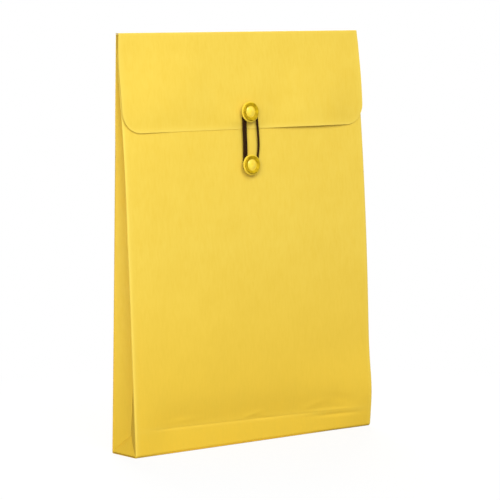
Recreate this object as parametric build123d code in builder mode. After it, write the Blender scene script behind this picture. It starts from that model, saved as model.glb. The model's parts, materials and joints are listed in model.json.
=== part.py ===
"""String tie envelope: a gusseted kraft envelope that stands on its block bottom.

The frame has +Z up and -Y to the front, with the origin on the floor under the middle of the pocket.
All sizes are in millimetres.
"""

import math
import os

from build123d import *

os.makedirs("parts", exist_ok=True)

# Pocket
pocket_width = 240.0
pocket_height = 332.0  # floor to the crease that the flap turns on
gusset_depth = 34.0  # front to back at the foot
mouth_depth = 4.8  # front to back at the crease
front_belly = 3.2  # how far the front bows out of its chord
foot_height = 17.0  # crease across the front, and the top of the gussets' foot folds
throat_drop = 12.0  # front panel's top edge below the crease
throat_radius = 6.0  # that edge's two corners
sheet = 0.35  # kraft paper
seam_lap = 15.0  # glued overlap down the middle of the back
bottom_flap_reach = 22.0  # inner bottom flap, from the front wall inwards
dust_flap_length = 30.0  # side flaps folded in over the bottom
dust_flap_taper = 6.0  # each side of a dust flap, from its fold to its tip

# Flap
flap_length = 78.0
flap_corner_radius = 17.0
crease_radius = 0.35  # rolled edge that the flap turns on

# Buttons
button_to_edge = 13.5  # upper button's centre above the flap's lower edge
button_spacing = 42.7
button_radius = 8.4
button_thickness = 1.0
rim_radius = 7.3  # ring on the button's face
rim_width = 2.6  # from the ring's edge in to its bore
rim_wall = 0.3
rim_rise = 1.4  # ring's edge over the button's face, from where the ring dishes in
spacer_radius = 1.6
spacer_height = 3.2
rivet_radius = 1.1
rivet_bore_radius = 0.6
rivet_head_radius = 4.3
rivet_head_height = 1.0
clinch_radius = 2.1
clinch_height = 0.4
backing_radius = 6.0
backing_thickness = 0.3

# String
string_diameter = 2.0
string_sides = 12  # flats round the string
anchor_drop = 50.0  # degrees that the string's start points down from the upper spacer's left
anchor_bend = 2.0  # centre line's radius where the string leaves the upper spacer
right_turn = 7.4  # centre line's radius on the right of both buttons
right_bow = 6.5  # degrees that the right strand leans out at each end
tail_turn = 50.0  # degrees that the end goes round the lower button

# Clearances
lap_gap = 0.02  # paper on paper, and hardware on paper
fold_gap = 0.2  # between two panels at a fold
floor_gap = 0.3  # walls over the floor
leaf_gap = 0.45  # gusset's edge to a wall's inner face
rub_gap = 0.4  # clinched rivet behind the flap to the front panel
turn_clearance = 0.05  # button on its rivet
turn_gap = 0.45  # between two turns of the string
end_gap = 0.05  # string's end to the spacer

# The walls lean together towards the crease, and the front bows out as one arc
half_run = (gusset_depth - mouth_depth) / 2
lean = math.atan2(half_run, pocket_height)
chord = math.hypot(half_run, pocket_height)
front_radius = chord**2 / (8 * front_belly) + front_belly / 2
front_centre_y = (front_radius - front_belly) * math.cos(lean) - (gusset_depth + mouth_depth) / 4
front_centre_z = pocket_height / 2 - (front_radius - front_belly) * math.sin(lean)
front_top = math.asin((pocket_height - front_centre_z) / front_radius)
front_length = 2 * front_radius * math.asin(chord / (2 * front_radius))
wall_height = chord - crease_radius - fold_gap - floor_gap

# The flap stands clear of the front by its rivet's tail
flap_gap = backing_thickness + clinch_height + 2 * lap_gap + rub_gap
flap_face = flap_gap + sheet
crease_y = mouth_depth / 2 - sheet / 2

# Floor layers, lowest first: bottom panel, inner flap, dust flaps, then the gussets' feet
layer = sheet + lap_gap
inner_half = gusset_depth / 2 - sheet - layer - fold_gap  # clear of the back seam's inner layer
gusset_foot = 3 * layer + fold_gap
gusset_top = pocket_height - throat_drop


def front_plane(down, out=0.0):
    """Plane on the front: a length down its curve from the crease, and a height out of its face."""
    turn = front_top - down / front_radius
    reach = front_radius + out
    origin = (0, front_centre_y - reach * math.cos(turn), front_centre_z + reach * math.sin(turn))
    return Plane(origin, x_dir=(1, 0, 0), z_dir=(0, -math.cos(turn), math.sin(turn)))


def draw_front_strip(top, bottom, inner, outer):
    """Draw the side section of a sheet that follows the front's curve, in the open sketch."""

    def spot(down, out):
        place = front_plane(down, out).origin
        return (place.Y, place.Z)

    middle = (top + bottom) / 2
    with BuildLine() as section:
        over = ThreePointArc(spot(top, outer), spot(middle, outer), spot(bottom, outer))
        under = ThreePointArc(spot(top, inner), spot(middle, inner), spot(bottom, inner))
        Line(over @ 0, under @ 0)
        Line(over @ 1, under @ 1)
    make_face(section.edges())


def sheet_corners(part):
    """Short edges through the paper at a sheet's corners, lowest first."""
    return part.edges().filter_by(lambda e: abs(e.length - sheet) < sheet / 100).group_by(Axis.Z)


def save(part, name):
    """Label a finished piece and write it."""
    part.label = name
    export_step(part, f"parts/{name}.step")


upper_down = flap_length - button_to_edge
upper_face = front_plane(upper_down, flap_face)
lower_face = front_plane(upper_down + button_spacing)
rivet_hole = rivet_radius + lap_gap

# Front wall
with BuildPart() as front_panel:
    with BuildSketch(Plane.YZ):
        draw_front_strip(throat_drop, front_length - foot_height, -sheet, 0)
    extrude(amount=pocket_width / 2, both=True)
    fillet(sheet_corners(front_panel)[-1], throat_radius)
    with BuildSketch(lower_face):
        Circle(rivet_hole)
    extrude(amount=2 * sheet, both=True, mode=Mode.SUBTRACT)
save(front_panel.part, "front_panel")

with BuildPart() as front_foot:
    with BuildSketch(Plane.YZ):
        draw_front_strip(front_length - foot_height + fold_gap, front_length - floor_gap, -sheet, 0)
    extrude(amount=pocket_width / 2, both=True)
save(front_foot.part, "front_foot")

# Back wall: two panels, the right one stepped in under the left along the glued seam
back_up = Vector(0, -math.sin(lean), math.cos(lean))
back_section = Plane(Vector(0, gusset_depth / 2, 0) + back_up * floor_gap, x_dir=(1, 0, 0), z_dir=back_up)

with BuildPart() as back_panel_left:
    with BuildSketch(back_section):
        with Locations((seam_lap / 2, 0)):
            Rectangle((pocket_width + seam_lap) / 2, sheet, align=(Align.MAX, Align.MAX))
    extrude(amount=wall_height)
save(back_panel_left.part, "back_panel_left")

step_start = seam_lap / 2 + fold_gap
step_end = step_start + sheet
with BuildPart() as back_panel_right:
    with BuildSketch(back_section):
        with BuildLine():
            Polyline(
                (pocket_width / 2, 0),
                (step_start, 0),
                (step_start, -layer),
                (-seam_lap / 2, -layer),
                (-seam_lap / 2, -layer - sheet),
                (step_end, -layer - sheet),
                (step_end, -sheet),
                (pocket_width / 2, -sheet),
                close=True,
            )
        make_face()
    extrude(amount=wall_height)
save(back_panel_right.part, "back_panel_right")

# Block bottom
with BuildPart() as bottom_panel:
    with BuildSketch():
        Rectangle(pocket_width, 2 * inner_half)
    extrude(amount=sheet)
save(bottom_panel.part, "bottom_panel")

with BuildPart() as bottom_inner_flap:
    with BuildSketch(Plane.XY.offset(layer)):
        with BuildLine():
            Polyline(
                (-pocket_width / 2, -inner_half),
                (pocket_width / 2, -inner_half),
                (pocket_width / 2 - bottom_flap_reach, bottom_flap_reach - inner_half),
                (bottom_flap_reach - pocket_width / 2, bottom_flap_reach - inner_half),
                close=True,
            )
        make_face()
    extrude(amount=sheet)
save(bottom_inner_flap.part, "bottom_inner_flap")

for side_name, side in (("left", -1), ("right", 1)):
    fold_x = side * (pocket_width / 2 - fold_gap)
    tip_x = fold_x - side * dust_flap_length
    tip_half = inner_half - dust_flap_taper
    with BuildPart() as dust_flap:
        with BuildSketch(Plane.XY.offset(2 * layer)):
            with BuildLine():
                Polyline(
                    (fold_x, -inner_half),
                    (fold_x, inner_half),
                    (tip_x, tip_half),
                    (tip_x, -tip_half),
                    close=True,
                )
            make_face()
        extrude(amount=sheet)
    save(dust_flap.part, f"{side_name}_dust_flap")


# Gussets: each side is a rear and a front leaf, folded in towards the mouth, over a flat foot
def back_edge(height):
    """Y of a gusset's edge at the back wall."""
    return gusset_depth / 2 - height * math.tan(lean) - sheet / math.cos(lean) - leaf_gap


def front_edge(height):
    """Y of a gusset's edge at the front wall."""
    reach = front_radius - sheet - leaf_gap
    return front_centre_y - math.sqrt(reach**2 - (height - front_centre_z) ** 2)


def half_gusset(height):
    """Half of a gusset's depth between the walls."""
    return (back_edge(height) - front_edge(height)) / 2


def crease_point(height, side, wall):
    """Point on a gusset's middle crease, which tucks in as the walls close."""
    tuck = math.sqrt(half_gusset(gusset_foot) ** 2 - half_gusset(height) ** 2)
    middle = (back_edge(height) + front_edge(height)) / 2
    return (side * (pocket_width / 2 - tuck), middle + wall * lap_gap / 2, height)


gusset_middle = (foot_height + gusset_top) / 2
for side_name, side in (("left", -1), ("right", 1)):
    inwards = (-side, 0, 0)
    for wall_name, wall, edge in (("rear", 1, back_edge), ("front", -1, front_edge)):
        edge_heights = (gusset_foot, gusset_middle, gusset_top)
        edge_points = [(side * pocket_width / 2, edge(height), height) for height in edge_heights]
        crease_heights = (foot_height, gusset_middle, gusset_top)
        crease_points = [crease_point(height, side, wall) for height in crease_heights]
        with BuildPart() as gusset_leaf:
            with BuildLine(mode=Mode.PRIVATE):
                if wall > 0:
                    wall_line = Line(edge_points[0], edge_points[-1])
                else:
                    wall_line = ThreePointArc(*edge_points)
                crease_line = ThreePointArc(*crease_points)
            leaf_face = Face.make_surface_from_curves(edge1=wall_line, edge2=crease_line)
            thicken(leaf_face, amount=sheet, normal_override=inwards)
        save(gusset_leaf.part, f"{side_name}_gusset_{wall_name}_leaf")

    foot_rise = foot_height - gusset_foot
    apex = Vector(*crease_point(foot_height, side, 0))
    foot_tuck = pocket_width / 2 - abs(apex.X)
    foot_plane = Plane(
        (side * pocket_width / 2, 0, gusset_foot),
        x_dir=(0, 1, 0),
        z_dir=(foot_rise, 0, side * foot_tuck),
    )
    with BuildPart() as gusset_foot_fold:
        with BuildSketch(foot_plane):
            with BuildLine():
                Polyline(
                    (front_edge(gusset_foot), 0),
                    (back_edge(gusset_foot), 0),
                    (apex.Y, math.hypot(foot_rise, foot_tuck)),
                    close=True,
                )
            make_face()
        extrude(amount=-side * sheet)
    save(gusset_foot_fold.part, f"{side_name}_gusset_foot")

# Flap: a spine across the mouth, with the rolled crease along its back, and the flap itself
spine_front = front_plane(0, flap_face).origin.Y
with BuildPart() as flap_spine:
    with BuildSketch(Plane.YZ):
        with Locations((crease_y, pocket_height)):
            Circle(crease_radius)
        with Locations((crease_y, pocket_height + crease_radius)):
            Rectangle(crease_y - spine_front, sheet, align=(Align.MAX, Align.MAX))
    extrude(amount=pocket_width / 2, both=True)
    front_edges = flap_spine.edges().filter_by(Axis.X).group_by(Axis.Y)[0]
    fillet(front_edges.sort_by(Axis.Z)[-1], 0.8 * sheet)
save(flap_spine.part, "flap_spine")

with BuildPart() as flap:
    with BuildSketch(Plane.YZ):
        draw_front_strip(fold_gap + lap_gap, flap_length, flap_gap, flap_face)
    extrude(amount=pocket_width / 2, both=True)
    fillet(sheet_corners(flap)[0], flap_corner_radius)
    with BuildSketch(upper_face):
        Circle(rivet_hole)
    extrude(amount=2 * sheet, both=True, mode=Mode.SUBTRACT)
save(flap.part, "flap")

# Buttons: heights out of the paper's face
disc_low = spacer_height + lap_gap + turn_clearance
disc_top = disc_low + button_thickness
head_low = disc_top + turn_clearance
tail_top = -sheet - backing_thickness - 2 * lap_gap
tail_low = tail_top - clinch_height
rim_top = disc_top + rim_rise
rim_low = disc_top + lap_gap
bore_radius = rim_radius - rim_width
dome_radius = (rivet_head_radius**2 + rivet_head_height**2) / (2 * rivet_head_height)
dome_half = math.asin(rivet_head_radius / dome_radius) / 2
dome_top = head_low + rivet_head_height

for place_name, face in (("upper", upper_face), ("lower", lower_face)):
    turn_axis = Axis(face.origin, face.z_dir)
    radial = Plane(face.origin, x_dir=face.x_dir, z_dir=-face.y_dir)

    with BuildPart() as rivet:
        with BuildSketch(radial):
            with BuildLine():
                Polyline(
                    (0, dome_top),
                    (0, 0),
                    (rivet_bore_radius, 0),
                    (rivet_bore_radius, tail_low),
                    (clinch_radius, tail_low),
                    (clinch_radius, tail_top),
                    (rivet_radius, tail_top),
                    (rivet_radius, head_low),
                    (rivet_head_radius, head_low),
                )
                ThreePointArc(
                    (rivet_head_radius, head_low),
                    (dome_radius * math.sin(dome_half), dome_top - dome_radius * (1 - math.cos(dome_half))),
                    (0, dome_top),
                )
            make_face()
        revolve(axis=turn_axis)
    save(rivet.part, f"{place_name}_rivet")

    with BuildPart() as spacer:
        with BuildSketch(face.offset(lap_gap)):
            Circle(spacer_radius)
            Circle(rivet_hole, mode=Mode.SUBTRACT)
        extrude(amount=spacer_height)
    save(spacer.part, f"{place_name}_spacer")

    with BuildPart() as backing_washer:
        with BuildSketch(face.offset(-sheet - lap_gap)):
            Circle(backing_radius)
            Circle(rivet_hole, mode=Mode.SUBTRACT)
        extrude(amount=-backing_thickness)
    save(backing_washer.part, f"{place_name}_backing_washer")

    with BuildPart() as button:
        with BuildSketch(face.offset(disc_low)):
            Circle(button_radius)
            Circle(rivet_radius + turn_clearance, mode=Mode.SUBTRACT)
        extrude(amount=button_thickness)
    save(button.part, f"{place_name}_button")

    with BuildPart() as rim:
        with BuildSketch(radial):
            with BuildLine():
                Polyline(
                    (bore_radius, rim_low),
                    (rim_radius, rim_low),
                    (rim_radius, rim_top - rim_wall),
                    (rim_radius - rim_wall, rim_top),
                    (bore_radius, rim_low + rim_wall),
                    close=True,
                )
            make_face()
        revolve(axis=turn_axis)
    save(rim.part, f"{place_name}_button_rim")

# String: from the upper spacer down the left, round the lower button, up the right, over the upper
# button and down the left again, where its end goes in beside the lower button
string_rise = lap_gap + spacer_height / 2
string_top = upper_face.offset(string_rise).origin
string_low = lower_face.offset(string_rise).origin
string_run = string_top - string_low
reach = string_run.length / 2
string_plane = Plane(
    (string_top + string_low) * 0.5, x_dir=(1, 0, 0), z_dir=Vector(1, 0, 0).cross(string_run)
)
drop = math.radians(anchor_drop)
anchor_start = spacer_radius + end_gap
anchor_end = anchor_start + string_diameter
anchor_root = (-anchor_start * math.cos(drop), reach - anchor_start * math.sin(drop))
inner_turn = anchor_end * math.cos(drop) + anchor_bend * (1 - math.sin(drop))
outer_turn = inner_turn + string_diameter + turn_gap
right_low = right_turn - inner_turn - reach
right_top = reach + outer_turn - right_turn
bow_radius = (right_top - right_low) / (2 * math.sin(math.radians(right_bow))) + right_turn

with BuildPart() as tie_string:
    with BuildLine(string_plane) as route:
        anchor = PolarLine(anchor_root, string_diameter, 180 + anchor_drop)
        bend = JernArc(anchor @ 1, anchor % 1, anchor_bend, 90 - anchor_drop)
        left_inner = Line(bend @ 1, (-inner_turn, -reach))
        low_left = JernArc(left_inner @ 1, left_inner % 1, inner_turn, 90)
        low_right = JernArc(low_left @ 1, low_left % 1, right_turn, 90 - right_bow)
        right = JernArc(low_right @ 1, low_right % 1, bow_radius, 2 * right_bow)
        top_right = JernArc(right @ 1, right % 1, right_turn, 90 - right_bow)
        top_left = JernArc(top_right @ 1, top_right % 1, outer_turn, 90)
        left_outer = Line(top_left @ 1, (-outer_turn, -reach))
        tail = JernArc(left_outer @ 1, left_outer % 1, outer_turn, tail_turn)
        tail_end = Line(tail @ 1, (tail @ 1) + (tail % 1) * string_diameter)
    with BuildSketch(Plane(anchor @ 0, z_dir=anchor % 0)) as string_section:
        RegularPolygon(string_diameter / 2, string_sides)
    sweep()
save(tie_string.part, "tie_string")

# The string's length and volume, and its least gap to itself
route_wire = route.wires()[0]
samples = 600
points = [route_wire.position_at(i / samples) for i in range(samples + 1)]
apart = math.ceil(3 * string_diameter * samples / route_wire.length)
least = min((a - b).length for i, a in enumerate(points) for b in points[i + apart :])
swept_volume = string_section.sketch.area * route_wire.length
print(f"string length {route_wire.length:.2f}, least gap to itself {least - string_diameter:.3f}")
print(f"string volume {tie_string.part.volume:.2f}, section times length {swept_volume:.2f}")
print(f"string radii {anchor_bend}, {inner_turn}, {right_turn}, {outer_turn}, {bow_radius:.1f}")
print(f"walls close by {2 * math.degrees(lean):.3f} degrees about y {crease_y:.3f}, z {pocket_height:.3f}")
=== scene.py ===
"""Dresses a string tie envelope: yellow kraft walls, folded gussets, two riveted buttons, a wound string.

Lengths are metres in the part's own frame: +Z up, -Y to the front, the floor at z = 0. A place on the
front or on the flap is its X and its down, the length along the front's curve from the crease at the top.
A zone is where something sets in: its start and its run.
"""

import json
import logging
import math
from collections.abc import Callable, Iterator, Sequence
from contextlib import contextmanager
from dataclasses import dataclass
from enum import Enum
from functools import cached_property, partial

import bpy
import numpy as np
from bpy.types import Material, Node, NodeSocket, NodeTree, Object
from mathutils import Matrix, Vector, noise


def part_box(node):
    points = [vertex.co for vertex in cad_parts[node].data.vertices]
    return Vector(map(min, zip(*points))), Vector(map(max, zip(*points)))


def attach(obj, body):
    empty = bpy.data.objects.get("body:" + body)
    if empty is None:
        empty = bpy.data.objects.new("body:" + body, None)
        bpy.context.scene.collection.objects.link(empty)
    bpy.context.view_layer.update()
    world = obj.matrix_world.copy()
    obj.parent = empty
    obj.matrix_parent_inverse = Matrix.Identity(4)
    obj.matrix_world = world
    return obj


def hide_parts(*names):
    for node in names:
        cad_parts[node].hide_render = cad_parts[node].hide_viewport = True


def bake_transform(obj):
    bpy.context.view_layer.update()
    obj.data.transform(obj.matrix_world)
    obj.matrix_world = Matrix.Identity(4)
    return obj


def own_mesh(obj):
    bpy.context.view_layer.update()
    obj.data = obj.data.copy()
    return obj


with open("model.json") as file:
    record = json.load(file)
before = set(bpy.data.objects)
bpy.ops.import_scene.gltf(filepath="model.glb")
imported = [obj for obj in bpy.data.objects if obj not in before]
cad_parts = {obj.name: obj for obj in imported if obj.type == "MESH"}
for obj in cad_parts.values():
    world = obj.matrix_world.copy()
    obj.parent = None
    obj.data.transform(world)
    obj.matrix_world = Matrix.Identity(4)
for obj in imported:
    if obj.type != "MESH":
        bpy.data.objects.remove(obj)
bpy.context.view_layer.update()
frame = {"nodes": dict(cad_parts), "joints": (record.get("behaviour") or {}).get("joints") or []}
MM = 0.001
LAYER_GAP = 0.02 * MM
QUARTER_DEGREES = range(0, 91, 15)
SIDE_FOLD_DEGREES = (90, 70, 50, 32, 16)
FOOT_FOLD_DEGREES = range(12, 67, 9)
FLOOR_FOLD_DEGREES = (80, 55, 30, 12)
WEAR_LAYER = "fold_wear"
ACROSS = Vector((1, 0, 0))
log = logging.getLogger("envelope")

Colour = tuple[float, float, float, float]
Point = tuple[float, float, float]
Pair = tuple[float, float]
Zone = tuple[float, float]
Counts = tuple[int, int]


class Body(Enum):
    """The part's moving bodies."""

    BACK = "back_wall"
    FRONT = "front_wall"
    FLAP = "closing_flap"
    UPPER_DISC = "upper_disc"
    LOWER_DISC = "lower_disc"


class Slot(Enum):
    """Names of the record's material slots, passed along with the new pieces."""

    KRAFT = "kraft_paper"
    BUTTON_FACE = "button_face"
    BUTTON_RIM = "button_rim"
    RIVET = "rivet"
    STRING = "string"


class Side(Enum):
    """Which side of the pocket, as the sign of X."""

    LEFT = -1
    RIGHT = 1


class Wall(Enum):
    """Which wall a gusset leaf starts from, as the sign of Y."""

    FRONT = -1
    REAR = 1


def srgb(red: int, green: int, blue: int) -> Colour:
    """Returns a screen colour, 0 to 255 a channel, as the linear colour that shaders take."""
    shares = (red / 255, green / 255, blue / 255)
    return (*(c / 12.92 if c <= 0.04045 else ((c + 0.055) / 1.055) ** 2.4 for c in shares), 1.0)


def ramp(value: float, start: float, run: float) -> float:
    """Eases from 0 at a start to 1 a run after it, flat at both ends and beyond them."""
    held = min(1.0, max(0.0, (value - start) / run))
    return held * held * (3 - 2 * held)


def bell(value: float, reach: float) -> float:
    """Returns 1 at 0, fading to either side over a reach."""
    return math.exp(-((value / reach) ** 2))


def rubbed(width: float, *lines: Pair) -> float:
    """Returns how far paper is rubbed near some lines, each given as its distance and its wear."""
    return max(wear * bell(gap, width) for gap, wear in lines)


def round_off(radius: float, into: float) -> float:
    """Returns how far a rounded corner has drawn back, a length into it."""
    return radius - math.sqrt(max(0.0, radius**2 - max(0.0, into) ** 2))


def spread(start: float, stop: float, count: int) -> list[float]:
    """Returns that many even steps from start to stop, both included."""
    return [float(value) for value in np.linspace(start, stop, count)]


def arc(radius: float, degrees: Sequence[float]) -> list[Pair]:
    """Returns how far a round fold has run on and dropped away at each of these angles."""
    angles = [math.radians(angle) for angle in degrees]
    return [(radius * math.sin(a), radius * (1 - math.cos(a))) for a in angles]


def joint_named(name: str) -> dict:
    """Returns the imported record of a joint."""
    return next(joint for joint in frame["joints"] if joint["name"] == name)


def use_only(piece: Object | None) -> None:
    """Leaves one piece selected and active, or none.

    Args:
        piece: That piece.
    """
    bpy.ops.object.select_all(action="DESELECT")
    bpy.context.view_layer.objects.active = piece
    if piece is not None:
        piece.select_set(True)


@contextmanager
def editing(piece: Object) -> Iterator[None]:
    """Opens a piece in edit mode with all of it selected, and closes it again.

    Args:
        piece: A mesh.

    Yields:
        Nothing, while it is open.
    """
    use_only(piece)
    bpy.ops.object.mode_set(mode="EDIT")
    bpy.ops.mesh.select_all(action="SELECT")
    yield
    bpy.ops.object.mode_set(mode="OBJECT")


def dress(piece: Object, finish: Material) -> Object:
    """Gives a piece one material.

    Args:
        piece: A mesh.
        finish: Its material.

    Returns:
        The same piece.
    """
    piece.data.materials.clear()
    piece.data.materials.append(finish)
    return piece


def settle(
    piece: Object, finish: Material, slot: Slot, *nodes: str, body: Body | None = None, sharp: float = 40
) -> Object:
    """Gives a finished mesh its material, its soft shading, the nodes that it stands for and its body.

    Args:
        piece: A mesh in its place.
        finish: Its material.
        slot: The record's slot for that material; not used.
        nodes: The nodes that it replaces.
        body: The body that it rides, or none to leave it unattached.
        sharp: Degrees above which an edge stays sharp.

    Returns:
        The same piece.
    """
    use_only(dress(piece, finish))
    bpy.ops.object.shade_smooth_by_angle(angle=math.radians(sharp))
    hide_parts(*nodes)
    if body is not None:
        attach(piece, body.value)
    return piece


@dataclass(frozen=True)
class EnvelopeForm:
    """The pocket's sizes and the curve of its front, as the solids have them."""

    half: float
    height: float
    sheet: float
    crease_y: float
    depth: float = 34 * MM
    mouth: float = 4.8 * MM
    belly: float = 3.2 * MM
    flap_length: float = 78 * MM
    flap_corner: float = 17 * MM
    flap_gap: float = 1.14 * MM
    throat_drop: float = 12 * MM
    seam_lap: float = 15 * MM
    leaf_gap: float = 0.8 * MM

    @classmethod
    def from_frame(cls) -> "EnvelopeForm":
        """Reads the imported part.

        Returns:
            Its form.
        """
        low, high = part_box("front_panel")
        floor_low, floor_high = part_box("bottom_panel")
        _, crease_y, height = joint_named("flap_crease")["pos_m"]
        return cls((high.x - low.x) / 2, height, floor_high.z - floor_low.z, crease_y)

    @cached_property
    def lean(self) -> float:
        """Angle of each wall from upright."""
        return math.atan2((self.depth - self.mouth) / 2, self.height)

    @cached_property
    def chord(self) -> float:
        """Length of a wall, straight from the crease to the floor."""
        return math.hypot((self.depth - self.mouth) / 2, self.height)

    @cached_property
    def radius(self) -> float:
        """Radius of the front's curve."""
        return self.chord**2 / (8 * self.belly) + self.belly / 2

    @cached_property
    def centre(self) -> Pair:
        """Y and Z of the centre of the front's curve."""
        out, low = (self.depth + self.mouth) / 4, self.radius - self.belly
        return (low * math.cos(self.lean) - out, self.height / 2 - low * math.sin(self.lean))

    @cached_property
    def front_length(self) -> float:
        """Length of the front along its curve."""
        return 2 * self.radius * math.asin(self.chord / (2 * self.radius))

    def front_turn(self, down: float) -> float:
        """Returns the angle at which the front's face looks up."""
        return math.asin((self.height - self.centre[1]) / self.radius) - down / self.radius

    def front_point(self, down: float, out: float) -> Pair:
        """Returns Y and Z of a point on the front, a height out of its even curve."""
        turn, reach = self.front_turn(down), self.radius + out
        return (self.centre[0] - reach * math.cos(turn), self.centre[1] + reach * math.sin(turn))

    def back_point(self, up: float, inwards: float) -> Pair:
        """Returns Y and Z of a point on the back, a length up it and a depth under its outer face."""
        sine, cosine = math.sin(self.lean), math.cos(self.lean)
        return (self.depth / 2 - up * sine - inwards * cosine, up * cosine - inwards * sine)


@dataclass(frozen=True)
class Pucker:
    """One soft ridge or dent in the paper, long in X."""

    x: float
    up: float
    half_length: float
    half_width: float
    slope: float
    rise: float

    def at(self, x: float, up: float) -> float:
        """Returns how far the pucker lifts the paper at a point."""
        across = up - self.up - self.slope * (x - self.x)
        return self.rise * bell(x - self.x, self.half_length) * bell(across, self.half_width)


@dataclass(frozen=True)
class FrontRelief:
    """How the front leaves its even curve: an uneven belly, the crease at its foot, puckers and waves."""

    form: EnvelopeForm
    belly_tilt: float = 2.0 * MM
    crease_left: float = 20.5 * MM
    crease_right: float = 16.0 * MM
    crease_depth: float = 2.3 * MM
    crease_reach: float = 16 * MM
    crease_zone: Zone = (6 * MM, 34 * MM)
    crease_fade: float = 0.85
    crease_fade_zone: Zone = (78 * MM, 34 * MM)
    notch_depth: float = 0.25 * MM
    notch_width: float = 0.8 * MM
    foot_share: float = 0.25
    wave_height: float = 0.3 * MM
    wave_length: float = 70 * MM
    wave_seed: float = 0.37
    wave_zone: Zone = (0, 30 * MM)
    pinch_depth: float = 3.3 * MM
    pinch_down: float = 24 * MM
    pinch_reach: float = 46 * MM
    pinch_width: float = 75 * MM
    swell_height: float = 3.5 * MM
    swell_up: float = 28 * MM
    swell_reach: float = 28 * MM
    swell_zone: Zone = (0.2, 0.8)
    pucker_zone: Zone = (0, 6 * MM)
    puckers: tuple[Pucker, ...] = (
        Pucker(78 * MM, 17.2 * MM, 24 * MM, 1.7 * MM, -0.02, 0.6 * MM),
        Pucker(84 * MM, 13.6 * MM, 22 * MM, 1.5 * MM, -0.01, -0.5 * MM),
        Pucker(60 * MM, 24 * MM, 13 * MM, 2.6 * MM, 0.22, 0.3 * MM),
        Pucker(88 * MM, 27 * MM, 12 * MM, 3.6 * MM, -0.25, -0.35 * MM),
        Pucker(-3 * MM, 22.5 * MM, 9 * MM, 1.6 * MM, 0.15, 0.3 * MM),
        Pucker(6 * MM, 18.6 * MM, 10 * MM, 1.5 * MM, -0.1, -0.3 * MM),
        Pucker(-72 * MM, 25 * MM, 18 * MM, 2.2 * MM, 0.06, 0.22 * MM),
    )

    def crease_up(self, x: float) -> float:
        """Returns the foot crease's length up the front, which falls to the right."""
        return self.crease_left + (self.crease_right - self.crease_left) * (x / self.form.half + 1) / 2

    def pinch(self, x: float, down: float) -> float:
        """Returns how far the top left corner is drawn in towards the back."""
        fade = bell(down - self.pinch_down, self.pinch_reach)
        return self.pinch_depth * fade * (1 - ramp(x, -self.form.half, self.pinch_width))

    def out(self, x: float, down: float) -> float:
        """Adds up all that lifts or dents the front.

        Args:
            x: Place across the front.
            down: Place down it.

        Returns:
            The height out of the even curve.
        """
        across, up = x / self.form.half, self.form.front_length - down
        share = min(1.0, max(0.0, down / self.form.front_length))
        arch = 4 * share * (1 - share)
        crease = self.crease_up(x)
        if up > crease:
            valley = bell(up - crease, self.crease_reach)
        else:
            valley = self.foot_share + (1 - self.foot_share) * max(0.0, up / crease)
        dent = self.crease_depth * valley + self.notch_depth * bell(up - crease, self.notch_width)
        dent *= ramp(x + self.form.half, *self.crease_zone)
        dent *= 1 - self.crease_fade * ramp(x, *self.crease_fade_zone)
        swell = self.swell_height * bell(up - self.swell_up, self.swell_reach)
        swell *= ramp(across, *self.swell_zone)
        wave = self.wave_height * arch * ramp(abs(x), *self.wave_zone)
        wave *= noise.noise((x / self.wave_length, up / self.wave_length, self.wave_seed))
        puckers = sum(pucker.at(x, up) for pucker in self.puckers) * ramp(up, *self.pucker_zone)
        return arch * self.belly_tilt * across - dent + swell + wave + puckers - self.pinch(x, down)


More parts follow.
